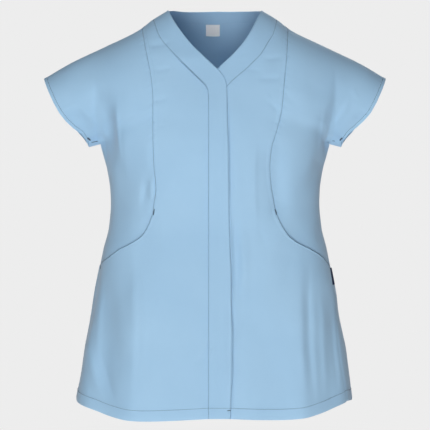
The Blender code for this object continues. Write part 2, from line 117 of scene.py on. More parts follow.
PRINCESS = {  # height, distance from the middle
    "right": metres([
        (-34.5, 134), (-92, 122), (-135, 114), (-169, 111), (-228, 111), (-286, 109),
        (-329, 105), (-354, 108), (-374, 110.5),
    ]),
    "left": metres([
        (-34.5, 134), (-91, 129), (-149, 123), (-189, 119), (-223, 111), (-262, 101),
        (-286, 100), (-315, 101), (-349, 106), (-374, 110.5),
    ]),
}
MOUTH = metres([  # distance from the middle, height
    (110.5, -374), (118, -393), (131, -414), (148, -427), (170, -437.5), (192, -451),
])
MOUTH_END = -0.467
POCKET_INNER = metres([  # height, distance from the middle
    (-374, 110.5), (-420, 104), (-545, 104),
])
POCKET_BOTTOM = -0.545
POCKET_RISE = 0.0026
POCKET_SIDE = (0.170, 0.212)  # how far from the middle it lies closer again
POCKET_CLOSER = 0.6  # by this share
POCKET_TOP_RISE = (0.300, 0.360)
POCKET_INNER_RISE = (0.060, 0.098)
POCKET_FALL = (0.560, 0.605)
POCKET_GAPE = 0.003
GAPE_CENTRE = (0.137, -0.418)
GAPE_SIZE = 0.030
BAND_SEAM = {  # height, distance from the middle
    "right": metres([
        (-19, 114), (-57, 99), (-75, 85), (-92.5, 69.7), (-123.5, 39), (-138.7, 23.5),
        (-147, 15.9), (-156.5, 13), (-170, 12), (-740, 12),
    ]),
    "left": metres([
        (-19, 114), (-49, 106), (-65, 96.3), (-89, 82), (-103.6, 68), (-121, 50),
        (-136.6, 31.5), (-147, 22.5), (-157, 18.5), (-214, 19), (-335, 21), (-417, 23),
        (-484, 25), (-740, 24.5),
    ]),
}
BAND_EDGE = {  # height of the seam, x and height of the edge across from it
    "right": metres([
        (-19, -85, -1), (-48, -76, -21), (-74, -61, -45), (-96, -44, -67), (-118, -23, -89),
        (-138.7, -1, -110.5), (-149, 11, -123), (-156.5, 18, -134), (-165, 21, -148),
        (-218, 22, -214), (-335, 24, -335), (-417, 26, -417), (-484, 28, -484),
        (-608, 28, -608), (-731, 27.5, -731),
    ]),
    "left": metres([
        (-19, 85, -1), (-48, 76, -21), (-74, 64, -45), (-92, 50, -67), (-112, 31, -89),
        (-134, 8, -111), (-143, -2, -123), (-152, -7, -133), (-165, -9, -148), (-218, -9, -214),
        (-335, -9, -335), (-731, -9, -731),
    ]),
}
LAP_RISE = (0.074, 0.100)
LAP_HEIGHT = 0.0024
NECK_POINT = 0.085
BAND_END = 0.114
BACK_EDGE = metres([  # distance from the middle, height
    (0, 3), (50, 2.5), (74, 1.5), (85, -1),
])
BACK_SEAM = metres([  # distance from the middle, height
    (0, -18), (50, -17.5), (90, -17.5), (114, -19),
])
LABEL = {"low_x": -0.017, "high_x": 0.009, "top": -0.0195, "bottom": -0.0390}
LABEL_OFF = (0.0006, 0.0016, 0.0008)  # clear of the back, more at its foot, bulge in its middle
TAPE = 0.0004  # thickness of label and tag
TAG = {"top": -0.471, "bottom": -0.501, "width": 0.014, "clear": 0.0055}
TAG_FOLD = 0.12  # share of its width over which it rounds off to its folded edge
TAG_OFF = (0.0004, 0.0010, 0.0007)  # at the seam, more at the edge, more inside that fold
TAG_THICK = 0.0010  # of the two layers past the seam
FOLDS = {  # x and z of the upper end, x and z of the lower end, width, height
    "front": metres([
        (-186, -440, -200, -720, 24, -7.5), (-136, -420, -142, -725, 22, 5.5),
        (196, -460, 204, -720, 22, -6.5), (148, -440, 152, -725, 22, 4.5),
        (62, -560, 68, -730, 22, 2), (-196, -170, -190, -270, 13, -5.5),
        (200, -185, 188, -275, 13, -5),
    ]),
    "back": metres([
        (-150, -440, -175, -720, 26, -6.5), (-95, -420, -105, -725, 28, 5),
        (145, -450, 170, -720, 26, -6), (90, -430, 105, -725, 28, 5),
        (10, -500, 15, -728, 30, -3.5), (-196, -175, -188, -275, 14, -5.5),
        (196, -175, 188, -275, 14, -5.5),
    ]),
}
FOLD_CLEAR = 0.045  # folds die out where the surface comes this near the seams' plane

# ---- creases of the real cloth
# x and z of one end, x and z of the other, sideways bow, width, height, and by what share one
# flank is wider and the other narrower
FRONT_CREASES = metres([
    # the wearer's right armpit and sleeve
    (-204, -130, -193.3, -298.2, 1.8, 23.3, -10, 150),
    (-173.1, -166.4, -167.7, -273.4, 1.8, 4.6, 2.6, 400),
    (-209.8, -136.6, -208, -197.6, 1.8, 7.2, -1, 0),
    (-268.6, -182.3, -225.3, -250.8, -3.6, 18, -8.5, 0),
    (-248.2, -177.3, -210.5, -229.4, -3.6, 5.8, 2, 200),
    (-272.2, -153.4, -261.4, -182.3, 3.6, 8.1, -0.7, 0),
    (-231.3, -115.1, -206.2, -161.7, 3.6, 12.6, 0.6, 0),
    (-161.5, -206.5, -154.4, -330.8, 3.6, 8, 0.8, 0),
    # the wearer's left armpit and sleeve
    (226, -165.3, 208, -280.1, 1.8, 21.5, -8.5, -150),
    (196.3, -184.2, 185.6, -269.9, -1.8, 5.7, 1.7, -300),
    (272.2, -182.3, 237.9, -247.2, -3.6, 18, -8.5, 0),
    (241.1, -164.7, 210.5, -222.2, -3.6, 6.1, 1.8, -200),
    (246.9, -142.6, 259.6, -169.7, 1.8, 5.4, 0.7, 0),
    (206.2, -147.4, 191.9, -190.4, -3.6, 9, 0.6, 0),
    (199.2, -259.5, 161.9, -334.2, -5.3, 10.7, -2, 200),
    (182.8, -245.6, 150.9, -309.5, -3.6, 8.9, 0.9, 0),
    # puckers beside the long seams
    (-122.6, -72.3, -77.5, -65.1, 1.8, 5.8, -1.9, 0),
    (-123.7, -91.8, -93.3, -88.2, 0, 4.7, 0.5, 0),
    (-110.6, -118.2, -76.7, -111.1, 1.8, 5.4, -1.4, 0),
    (-112.1, -142.1, -87.2, -136.8, 0, 3.9, 0.5, 0),
    (-111.8, -172.8, -81.7, -165.7, 1.8, 5.3, -1.4, 0),
    (-106.3, -221, -86.8, -215.7, 0, 4.6, -0.5, 0),
    (-109.6, -302.7, -111.4, -350.4, 1.8, 4.9, 2.4, 0),
    (-122.1, -307.9, -127.4, -362.8, 1.8, 6.4, -2.6, -200),
    (23.4, -90.3, 66.7, -83.1, 1.8, 4, -0.6, 0),
    (37.7, -115.1, 84.3, -120.5, -1.8, 4.3, -0.7, 0),
    (84.5, -96.3, 127.7, -90.9, 1.8, 5.4, -1.4, 0),
    (73.2, -132.5, 123.1, -128.9, 1.8, 5.7, -1.4, 0),
    (97.6, -165.7, 117.2, -195.9, 1.8, 5.7, -2, 200),
    (90.5, -156.8, 110.1, -185.2, 1.8, 4.6, 0.9, 0),
    (122.5, -156.8, 143.8, -178.1, 1.8, 5.7, -0.7, 0),
    (100.9, -233.6, 118.6, -260.1, 0, 5.3, -0.7, 0),
    (107.8, -341.6, 100.8, -376.9, 0, 4.6, -1.1, 0),
    # the body's turn beside the left princess seam
    (108.1, -235.2, 116.9, -401.7, 1.8, 23, -6.5, 250),
    (70.7, -242.6, 72.5, -405.2, 1.8, 8.8, 1.6, 300),
    (76, -394.6, 90.2, -440.6, -1.8, 7.1, -0.8, 0),
    (118.4, -387.5, 83.1, -475.9, -3.5, 10.6, 1.3, 0),
    (136.1, -426.4, 122, -511.3, -3.5, 11.5, -1, 0),
    # long soft folds of the right half
    (-93.7, -359.2, -61.9, -309.7, 1.8, 7.1, -0.9, 0),
    (-118.9, -369.8, -133.1, -458.6, -1.8, 10.7, -1.2, -200),
    (-158.3, -259.5, -172.5, -412.5, 3.6, 21.3, -3, -200),
    (-122.1, -242.4, -118.6, -306.1, 0, 8.8, 1.2, 300),
    (-51.3, -525.4, -68.9, -613.8, 3.5, 14.1, 0.5, 0),
    (-86.4, -578, -79.4, -701.5, 0, 15.9, -0.5, 0),
    # the wearer's right side of the skirt
    (-145, -564.3, -137.9, -698.7, -8.8, 14.1, -1.6, -200),
    (-127.1, -587.1, -111.3, -705.4, -7.1, 10.6, 1, 0),
    (-198.1, -426.9, -205.2, -723.1, 1.8, 30.3, -11, -200),
    (-148.8, -426.5, -141.7, -710, -8.9, 9.7, 3.4, 200),
    (-206.2, -473.8, -217, -617.3, 1.8, 6.1, 1.3, 0),
    (-223.5, -557.2, -230.7, -632.9, 1.8, 4.7, 1.2, 0),
    (-229.1, -616.8, -191.5, -711.6, 3.6, 6.1, 2.4, 200),
    (-210.5, -616, -173.1, -708.8, 3.6, 6.8, -2.2, 0),
    (-234.9, -646, -213.4, -706.9, 1.8, 4.7, -0.9, 0),
    (-190.9, -580.3, -180.2, -669.6, 0, 7.1, 0.7, 0),
    # the wearer's left side of the skirt
    (165.4, -458.8, 174.3, -711.3, 3.6, 8.9, -3.4, 300),
    (150.9, -469.2, 158, -707.1, 1.8, 7.1, 0.9, 0),
    (186.1, -491.5, 196.9, -709.8, 0, 7.5, 2.2, -200),
    (206.2, -527.6, 218.8, -703.3, 0, 5.4, -1.2, 200),
    (143.5, -614.3, 150.6, -706.4, 0, 8.9, -0.6, 0),
    (122, -543.1, 129, -702.2, 3.5, 15.9, 0.6, 0),
    (180.4, -387.7, 191.1, -434.1, 0, 6.1, -1, 0),
    # beside the placket
    (33.5, -366.3, 37, -539.2, -1.8, 7.4, -5, -200),
    (49.4, -398.1, 51.2, -521.6, -1.8, 7.4, 1.6, 0),
    (31.7, -524.9, 31.7, -715.3, 0, 6, -2.6, -200),
    (24.7, -200.3, 30, -373.4, 0, 5.3, -2.2, -200),
    (31.7, -546.1, 45.8, -581.3, -1.8, 4.9, -1.2, 0),
    (40.5, -577.8, 58.2, -553.1, 1.8, 5.3, 0.9, 0),
    (33.5, -599, 75.8, -616.6, -1.8, 4.6, -0.8, 0),
    (40.5, -535.5, 82.8, -496.7, 3.5, 7.9, -0.6, 0),
    (-1.8, -593.7, -31.7, -643, -1.8, 4.2, -2.2, 0),
    (-8.8, -588.4, -38.8, -630.7, -1.8, 4.6, 0.8, 0),
    (0, -595.2, 12.3, -619.9, 1.8, 3.5, -0.8, 0),
    (1.8, -637.5, 10.6, -676.2, 1.8, 3.9, -0.8, 0),
    (12.3, -626.9, 19.4, -665.6, 0, 3.5, 0.6, 0),
    (-15.8, -690.3, -58.1, -722, -1.8, 5.3, 0.7, 0),
    (-5.3, -193.3, 7.1, -256.8, 1.8, 6, -0.7, 0),
    (-15.9, -242.7, -3.5, -274.5, 1.8, 6, -0.6, 0),
])
BACK_CREASES = metres([
    (-186, -160, -182, -280, 4, 7, -2.8, 0),
    (187, -160, 185, -285, -4, 7, -3, 0),
    (-169, -170, -166, -300, 4, 8, 1.5, 0),
    (170, -165, 165, -290, -4, 8, 1.4, 0),
    (-90, -310, -30, -360, 8, 8, -1.6, 0),
    (98, -300, 35, -345, -8, 8, -1.5, 0),
    (-110, -340, -42, -390, 7, 8, 1.2, 0),
    (106, -355, 50, -385, -6, 7, 1, 0),
    (-135, -460, -150, -720, 5, 10, 2, 0),
    (128, -470, 145, -720, -5, 10, 2, 0),
    (-200, -500, -205, -710, 4, 8, 1.6, 0),
    (205, -520, 207, -710, 3, 8, 1.4, 0),
    (45, -520, 52, -720, 4, 12, 1.4, 0),
    (-38, -540, -42, -725, 4, 12, 1.4, 0),
    (-256, -170, -215, -233, -10, 9, -2.6, 0),
    (258, -165, 215, -233, 10, 9, -2.6, 0),
])
CREASES = {"front": FRONT_CREASES, "back": BACK_CREASES}
WAVES = [  # waves across and down in a metre, phase, height: the cloth's small unevenness
    (7.0, 3.0, 0.4, 0.00050), (-9.0, 6.0, 1.9, 0.00035), (15.0, -5.0, 3.1, 0.00022),
    (5.0, 13.0, 4.4, 0.00025), (23.0, 9.0, 0.9, 0.00012), (-19.0, 17.0, 2.2, 0.00010),
]
CREASE_CLEAR = 0.030  # creases die out where the surface comes this near the seams' plane
CREASE_FADE = 0.35  # share of a crease's length over which each end fades
CREASE_END = 0.15  # share of its height that is left at the very end

# ---- rows, columns
SHOULDER_DROPS = [0.001 * step * step for step in range(7)]
PRINCESS_ROWS = below_origin(92, 116, 140, 163, 184, 202, 216, 228, 240, 262, 290, 325, 350, 374)
BAND_ROWS = below_origin(
    74, 92.5, 112, 130, 142.5, 152, 162, 176, 197, 222, 255, 290, 322, 348, 370, 388, 405, 421,
    437, 453, 473, 496, 525, 562, 606, 650, 692, 731,
)
SIDE_ROWS = below_origin(264, 290, 322, 348, 375, 404, 437, 467, 508, 545, 590, 635, 675, 707.5)
CUFF_ROWS = below_origin(174, 192, 208, 222, 234, 244)
POCKET_ROWS = below_origin(400, 435, 467, 508, 545)
BACK_ROWS = below_origin(
    62, 85, 110, 135, 160, 182, 200, 218, 236, 262, 290, 324, 352, 380, 410, 445, 478, 520, 560,
    606, 652, 694, 731,
)
NECK_SHARES = np.sin(np.radians(np.linspace(0, 90, 25)))
MOUTH_SHARES = (0.4, 0.75, 1.0)
EDGE_SHARES = (0.0016, 0.0034, 0.0055, 0.008, 0.011, 0.015, 0.020, 0.027, 0.036)
BEND = 0.35  # share of a grid's rows over which they bend to its first or last line
UNDERARM_MIDDLE = 0.219  # a point of the underarm between cuff and armpit
CUFF_DROP = 0.8  # how much less the cuff's first rows drop than the other edges'
LATE_FALL = 3  # how late in a row its drop to the underarm comes
LATE_HEIGHTS = (0.200, 0.245)  # how far down that begins, and is full
NUDGE = 0.0002  # for slopes
TINY = 1e-6
FINE = 8  # rows made from each one above
CUFF_LAST = (len(SHOULDER_DROPS) + len(CUFF_ROWS)) * FINE + 1  # the last row on the cuff
CUFF_FADE = (CUFF_LAST - 5, 5)  # the rows before it over which the turned cuff ends
MOUTH_FADE = 4  # the same for the pocket mouth's topstitched edge
SIDE_COLUMNS, CENTRE_COLUMNS, BAND_COLUMNS, NECKBAND_COLUMNS = 62, 78, 22, 16
BACK_COLUMNS = (26, 64)  # of each half: under the neck seam, and beside it

# ---- seams and sewing
EDGE_ROLL = (0.0012, 0.0010)  # how wide and how deep an edge rolls in at a seam
BAND_ROLL = 1.2  # a band's free edge rolls in more, by this factor
SEWN_ROLL = 0.6  # and the edges at its seam less
TOPSTITCH = 0.0016  # from the seam's edge
BAND_STITCH = 0.7 * TOPSTITCH
EDGE_STITCH = 0.0022  # from a band's free edge
UNDERLAP_STITCH = (0.0075, (110, 270))  # from the left centre front's edge, on these rows
GROOVE = (0.0008, 0.00034)  # width and depth that a row of stitches presses in
ALLOWANCE = (0.0085, 0.00035)  # how wide and how high the turning under a topstitched edge
FACING = (0.0040, 0.000175)  # the same at a band's free edge
STEP_SOFT = 0.0012  # half the width of the step where a turning ends
HEM_TURN = 0.0190
CUFF_TURN = 0.0058
HEM_RISE = 0.0004  # how far the turned hem stands out
HEM_CLOTH = 0.0014  # thickness of the turned hem
WALL_SOFT = 0.0010
PUCKER = (0.0070, 0.00030)  # how far from a seam the sewing draws the cloth in, and how high
BAND_PUCKER, STIFF_PUCKER = 0.6, 0.5  # share of that beside a band, and in the band
PUCKER_SHIFT = 0.31  # so the waves on a panel's two edges differ
PUCKER_WAVES = ((0.0120, 0.3, 1.0), (0.0190, 1.7, 0.8), (0.0073, 2.9, 0.5))
STITCH = 0.0026
STITCH_GAP = 0.0005
STITCH_LIFT = 0.0001  # of a thread's middle off the cloth
THREAD = 0.00028  # half thickness
PLACKET_GAPE = metres([  # height, how far the placket's free edge stands off the front
    (0, 0), (-130, 0), (-175, 2.4), (-380, 2.6), (-430, 2.4), (-510, 4.2), (-580, 4.8),
    (-622, 3.6), (-650, 4.2), (-700, 2), (-740, 1.2),
])
PLACKET_ROLL = (0.0026, 0.0016)  # how wide and how deep that edge rolls in, at the most
PLACKET_LOOSE = 0.010  # how far from the edge the front of the band stands off with it

SIGN = {"right": -1, "left": 1}
FORWARD = {"front": -1, "back": 1}


# ---- the form
def smooth(table, at, column=1):
    """Read a column of a table at given places of its first column, without overshoot."""
    rows = np.array(sorted(table), float)
    x, y = rows[:, 0], rows[:, column]
    step = np.diff(x)
    slope = np.diff(y) / step
    tangent = np.concatenate([slope[:1], np.zeros(len(x) - 2), slope[-1:]])
    for i in range(1, len(x) - 1):
        if slope[i - 1] * slope[i] > 0:
            near, far = 2 * step[i] + step[i - 1], step[i] + 2 * step[i - 1]
            tangent[i] = (near + far) / (near / slope[i - 1] + far / slope[i])
    at = np.clip(np.asarray(at, float), x[0], x[-1])
    i = np.clip(np.searchsorted(x, at) - 1, 0, len(x) - 2)
    s = (at - x[i]) / step[i]
    start = (1 + 2 * s) * y[i] + s * step[i] * tangent[i]
    end = (3 - 2 * s) * y[i + 1] + (s - 1) * step[i] * tangent[i + 1]
    return start * (1 - s) ** 2 + end * s * s


def ramp(value, low, high):
    """0 at low, 1 at high, with a soft start and end."""
    s = np.clip((np.asarray(value, float) - low) / (high - low), 0, 1)
    return s * s * (3 - 2 * s)


def within(away, width, soft):
    """1 up to a width and 0 beyond it, with a soft change on both sides of it."""
    return 1 - ramp(away, width - soft, width + soft)


def bell(away, width):
    """1 where away is 0, falling softly over the width."""
    return np.exp(-((away / width) ** 2))


def arch(s):
    """A quarter circle: 0 at 0, 1 from 1 on."""
    s = np.clip(s, 0, 1)
    return np.sqrt(1 - (1 - s) ** 2)


def ridge(x):
    """Height of the shoulder line."""
    return smooth(RIDGE, np.abs(x))


def hem(x):
    """Height of the hem."""
    return smooth(HEM, np.abs(x))


def back_top(x):
    """Height of the back panel's upper edge: the neck seam, then the shoulder line."""
    return np.where(np.abs(x) < BAND_END, smooth(BACK_SEAM, np.abs(x)), ridge(x))


def underarm(x):
    """Height of the sleeve's underside."""
    return ARMPIT[1] - UNDERARM_SLOPE * (x - ARMPIT[0])


def folds(face, x, z):
    """Height of the largest folds, which the solids have too."""
    height = np.zeros(np.shape(x))
    for x0, z0, x1, z1, width, tall in FOLDS[face]:
        length = math.hypot(x1 - x0, z1 - z0)
        aim_x, aim_z = (x1 - x0) / length, (z1 - z0) / length
        along = np.clip((x - x0) * aim_x + (z - z0) * aim_z, 0, length)
        away = np.hypot(x - x0 - along * aim_x, z - z0 - along * aim_z)
        height = height + tall * ramp(along, 0, length / 2) * bell(away, width)
    return height


def creases(face, x, z):
    """Height of the smaller creases, each along a bowed line that fades at both ends."""
    height = np.zeros(np.shape(x))
    for x0, z0, x1, z1, bow, width, tall, lean in CREASES[face]:
        length = math.hypot(x1 - x0, z1 - z0)
        aim_x, aim_z = (x1 - x0) / length, (z1 - z0) / length
        share = ((x - x0) * aim_x + (z - z0) * aim_z) / length
        inside = np.clip(share, 0, 1)
        aside = (x - x0) * aim_z - (z - z0) * aim_x - bow * 4 * inside * (1 - inside)
        reach = width * np.where(aside > 0, 1 + lean, 1 - lean)
        away = np.hypot(aside / reach, (share - inside) * length / width)
        full = ramp(inside, 0, CREASE_FADE) * (1 - ramp(inside, 1 - CREASE_FADE, 1))
        height = height + tall * (full * (1 - CREASE_END) + CREASE_END) * bell(away, 1)
    for across, down, phase, tall in WAVES:
        height = height + tall * np.sin(math.tau * (across * x + down * z) + phase)
    return height


def section_root(share, z):
    """The other coordinate of the body's section, where both are shares of their largest."""
    power = smooth(SQUARENESS, z)
    return np.maximum(0, 1 - share**power) ** (1 / power)


def depth(face, x, z):
    """How far the surface stands from the side seams' plane at front-view points."""
    out = np.abs(x)
    below = np.maximum(ridge(x) - z, 0)
    full = smooth(BODY, z, 2 if face == "front" else 3)
    body = full * section_root(out / smooth(BODY, z), z) * arch(below / SHOULDER_ROUND)
    start = (z - underarm(out)) / SLEEVE_UNDER_ROUND
    soft = ramp(start, 0, SOFT_START) ** 0.5
    over = arch(start) * (soft + (1 - soft) * ramp(out, *SOFT_INSIDE))
    sleeve = smooth(SLEEVE, out) * arch(below / SLEEVE_TOP_ROUND) * over
    joined = (body**MERGE_POWER + sleeve**MERGE_POWER) ** (1 / MERGE_POWER)
    return joined + folds(face, x, z) * ramp(joined, 0, FOLD_CLEAR)


def on_surface(face, x, z):
    """Points of a surface and its outward normals, also where it turns over at a seam."""
    d = depth(face, x, z)
    across = (depth(face, x + NUDGE, z) ** 2 - depth(face, x - NUDGE, z) ** 2) / (2 * NUDGE)
    up = (depth(face, x, z + NUDGE) ** 2 - depth(face, x, z - NUDGE) ** 2) / (2 * NUDGE)
    normal = np.stack([-across, FORWARD[face] * 2 * d, -up], axis=-1)
    size = norm(normal, axis=-1, keepdims=True)
    sideways = np.stack([np.sign(x), 0 * d, 0 * d], axis=-1)
    normal = np.where(size > TINY**2, normal / np.maximum(size, TINY**2), sideways)
    return np.stack([x, FORWARD[face] * d, z], axis=-1), normal


def cloth(face, x, z):
    """Points and normals of the creased cloth."""
    points, normals = on_surface(face, x, z)
    clear = ramp(np.abs(points[..., 1]), 0, CREASE_CLEAR)
    return points + normals * (creases(face, x, z) * clear)[..., None], normals


def seam_angle(side, z):
    """Angle round the front section at which the side seam lies: 90 degrees is the side."""
    share = smooth(SEAM_FORWARD[side], z) / smooth(BODY, z, 2)
    return np.arcsin(section_root(share, z))


def side_seam(side, z):
    """Distance of the side seam from the middle."""
    return smooth(BODY, z) * np.sin(seam_angle(side, z))


def bent(z, x, share, top, bottom):
    """Heights of a grid, bent to the lines that its first and its last row follow."""
    down = np.linspace(0, 1, len(x))[:, None]
    for line, weight in ((top, 1 - ramp(down, 0, BEND)), (bottom, ramp(down, 1 - BEND, 1))):
        if line is not None:
            first, last = line(x[:, :1]), line(x[:, -1:])
            z = z + weight * (line(x) - first - (last - first) * share)
    return z


def between(inner, outer, columns, top=None, bottom=None):
    """Front-view points between two edges."""
    inner, outer = np.array(inner, float)[:, :, None], np.array(outer, float)[:, :, None]
    grid = inner + (outer - inner) * columns
    return grid[:, 0], bent(grid[:, 1], grid[:, 0], columns, top, bottom)


def around(inner, outer, columns, top=None, bottom=None, last=None):
    """Front-view points between two edges, spread by the angle round the body's section.

    A row that ends on a sleeve's edge takes that edge for the section's side. Returns x, z
    and the angles, where more than 90 degrees lies past the side of the section.
    """
    inner, outer = np.array(inner, float), np.array(outer, float)
    on_body = outer[:, 0] <= smooth(BODY, outer[:, 1]) + SEAM_LAP
    inner_reach = np.where(on_body, smooth(BODY, inner[:, 1]), outer[:, 0])
    outer_reach = np.where(on_body, smooth(BODY, outer[:, 1]), outer[:, 0])
    first = np.arcsin(inner[:, 0] / inner_reach)
    if last is None:
        last = np.arcsin(np.minimum(1, outer[:, 0] / outer_reach))
    turn = first[:, None] + (last - first)[:, None] * columns
    share = (np.sin(turn) - np.sin(first)[:, None]) / (np.sin(last) - np.sin(first))[:, None]
    share = np.where(on_body[:, None], columns, share)
    late = np.where(on_body, 1, 1 + LATE_FALL * ramp(-outer[:, 1], *LATE_HEIGHTS))
    z = inner[:, 1:] + (outer[:, 1:] - inner[:, 1:]) * share ** late[:, None]
    rough_x = np.where(on_body[:, None], smooth(BODY, z), outer[:, :1]) * np.sin(turn)
    rough_share = (rough_x - rough_x[:, :1]) / np.ptp(rough_x, axis=1)[:, None]
    z = bent(z, rough_x, rough_share, top, bottom)
    x = np.where(on_body[:, None], smooth(BODY, z), outer[:, :1]) * np.sin(turn)
    return x, z, turn


# ---- the edges
def refined(points, times=FINE, curved=False):
    """Rows between the given ones, on straight lines or on a smooth curve through them."""
    points = np.array(points, float)
    steps = np.arange(len(points), dtype=float)
    at = np.linspace(0, len(points) - 1, (len(points) - 1) * times + 1)
    if curved:
        columns = [smooth(np.stack([steps, column], 1).tolist(), at) for column in points.T]
    else:
        columns = [np.interp(at, steps, column) for column in points.T]
    return np.stack(columns, axis=1)


def seam_points(table, rows, shift):
    """Front-view points down a seam that starts on the shoulder line."""
    start = max(table)[0]
    heights = [start - drop for drop in SHOULDER_DROPS] + list(rows)
    z = refined([[h] for h in heights])[:, 0]
    x = smooth(table, z) + shift
    from_top = 1 - ramp(start - z, 0, SHOULDER_DROPS[-1])
    z = z + (ridge(x) - start) * from_top
    return np.stack([x, z], axis=1)


def cuff_points(table):
    """Front-view points down the cuff from the shoulder line, and on to the armpit."""
    points = []
    for drop in SHOULDER_DROPS:
        z = table[0][0] - CUFF_DROP * drop
        x = float(smooth(table, z))
        points.append((x, z if drop else float(ridge(x))))
    points += [(float(smooth(table, z)), z) for z in CUFF_ROWS]
    for x in (table[-1][1], UNDERARM_MIDDLE, ARMPIT[0]):
        points.append((x, underarm(x)))
    return points


def side_points(side, rows):
    """Front-view points down the side seam, after its first one."""
    z = refined([[height] for height in rows])[1:, 0]
    return np.stack([side_seam(side, z), z], axis=1)


def mouth_points(side):
    """Front-view points down the pocket mouth's edge to where it meets the side seam."""
    last_x, last_z = MOUTH[-1]
    start = math.asin(last_x / smooth(BODY, last_z))
    points = list(MOUTH[1:])
    for share in MOUTH_SHARES:
        z = last_z + (MOUTH_END - last_z) * share
        turn = start + (seam_angle(side, MOUTH_END) - start) * share
        points.append((float(smooth(BODY, z) * np.sin(turn)), z))
    return points


def shares(count):
    """Columns from 0 to 1, close together near both edges."""
    middle = np.linspace(EDGE_SHARES[-1], 1 - EDGE_SHARES[-1], count)
    low = np.array([0.0, *EDGE_SHARES[:-1]])
    return np.concatenate([low, middle, 1 - low[::-1]])


# ---- edges and hems
def grid_normals(points, outward):
    """Normals of a grid of points, turned to the side that outward faces."""
    across, down = np.gradient(points, axis=1), np.gradient(points, axis=0)
    normal = np.cross(down, across)
    size = norm(normal, axis=-1, keepdims=True)
    normal = np.where(size > TINY**2, normal / np.maximum(size, TINY**2), outward)
    flip = np.sum(normal * outward, axis=-1, keepdims=True) < 0
    return np.where(flip, -normal, normal)


def distances(points):
    """How far each grid point lies from the grid's left, right, upper and lower edge."""
    wide = norm(np.diff(points, axis=1), axis=-1)
    wide = np.concatenate([np.zeros((len(points), 1)), np.cumsum(wide, axis=1)], axis=1)
    tall = norm(np.diff(points, axis=0), axis=-1)
    tall = np.concatenate([np.zeros((1, points.shape[1])), np.cumsum(tall, axis=0)], axis=0)
    return wide, wide[:, -1:] - wide, tall, tall[-1:] - tall


def rolled(away, width=EDGE_ROLL[0], deep=EDGE_ROLL[1]):
    """How far an edge sinks as it rolls in at a seam."""
    return -deep * (1 - np.clip(away / width, 0, 1)) ** 2


def pressed(away, where):
    """The groove of a row of stitches."""
    width, deep = GROOVE
    return -deep * bell(away - where, width)


def turning(away, wide=ALLOWANCE[0], tall=ALLOWANCE[1]):
    """The low step over a turned edge."""
    return tall * within(away, wide, STEP_SOFT)


def drawn_in(away, along):
    """The small waves that a row of sewing draws into the cloth beside it."""
    reach, tall = PUCKER
    wave = sum(w * np.sin(math.tau * along / length + p) for length, p, w in PUCKER_WAVES)
    return tall * wave * bell(away, reach) * ramp(away, 0, 0.002)


# ---- making objects
SHARP_EDGE = math.radians(60)
TUNIC = bpy.data.collections.new("work_tunic")
bpy.context.scene.collection.children.link(TUNIC)


def add_mesh(name, vertices, faces, material):
    """A mesh object in the tunic's collection."""
    mesh = bpy.data.meshes.new(name)
    mesh.from_pydata(np.asarray(vertices).tolist(), [], faces)
    mesh.shade_smooth()
    mesh.set_sharp_from_angle(angle=SHARP_EDGE)
    mesh.materials.append(material)
    made = bpy.data.objects.new(name, mesh)
    TUNIC.objects.link(made)
    return made


def shell(name, points, normals, wall, material):
    """A closed thin shell from a grid: its outer side, its inner side and its rim."""
    rows, columns = points.shape[:2]
    count = rows * columns
    wall = np.broadcast_to(wall, (rows, columns))[..., None]
    corners = np.concatenate([points, points - normals * wall]).reshape(-1, 3)
    grid = np.arange(count).reshape(rows, columns)
    quads = np.stack([grid[:-1, :-1], grid[1:, :-1], grid[1:, 1:], grid[:-1, 1:]], axis=-1)
    quads = quads.reshape(-1, 4)
    middle = quads[len(quads) // 2 + columns // 2]
    a, b, c = (corners[middle[k]] for k in range(3))
    if np.dot(np.cross(b - a, c - b), normals.reshape(-1, 3)[middle[0]]) < 0:
        quads = quads[:, ::-1]
    rim = [*grid[0, :], *grid[1:, -1], *grid[-1, -2::-1], *grid[-2:0:-1, 0]]
    faces = quads.tolist() + (quads[:, ::-1] + count).tolist()
    edge = np.array([*rim, rim[0]])
    sides = np.stack([edge[:-1], edge[1:], edge[1:] + count, edge[:-1] + count], axis=1)
    centre = corners[edge[0]] - corners[edge[1]]
    outward = np.cross(centre, normals.reshape(-1, 3)[edge[0]])
    inside = corners.mean(axis=0) - corners[edge[0]]
    if np.dot(outward, inside) < 0:
        sides = sides[:, ::-1]
    made = add_mesh(name, corners, faces + sides.tolist(), material)
    left, _, top, _ = distances(points)
    flat = np.stack([left, top], axis=-1).reshape(-1, 2)
    flat = np.concatenate([flat, flat])
    layer = made.data.uv_layers.new(name="cloth")
    index = np.zeros(len(made.data.loops), np.int32)
    made.data.loops.foreach_get("vertex_index", index)
    layer.data.foreach_set("uv", flat[index].astype(np.float32).ravel())
    return made


EDGES = ("left", "right", "top", "bottom")
MADE = {}  # for each node: points, normals and distances from the edges


def garment_piece(node, points, outward, lift, wall, material):
    """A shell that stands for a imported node. Its surface is kept for stitches to lie on."""
    normals = grid_normals(points, outward)
    points = points + normals * np.broadcast_to(lift, points.shape[:2])[..., None]
    normals = grid_normals(points, outward)
    made = shell(node + "_cloth", points, normals, wall, material)
    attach(made, "root")
    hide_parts(node)
    MADE[node] = {"points": points, "normals": normals, **dict(zip(EDGES, distances(points)))}


# ---- the pieces
def pocket_lift(x, z):
    """How far the centre front stands out where it lies on the pocket's back layer."""
    out = np.abs(x)
    over = POCKET_RISE * ramp(-z, *POCKET_TOP_RISE) * ramp(out, *POCKET_INNER_RISE)
    over = over * (1 - ramp(-z, *POCKET_FALL)) * (1 - POCKET_CLOSER * ramp(out, *POCKET_SIDE))
    away = np.hypot(out - GAPE_CENTRE[0], z - GAPE_CENTRE[1])
    return over + POCKET_GAPE * bell(away, GAPE_SIZE)


def hem_lift(bottom, turn):
    """The step of a turned hem, with its row of stitches and its rounded edge."""
    return HEM_RISE * within(bottom, turn, STEP_SOFT) + rolled(bottom)


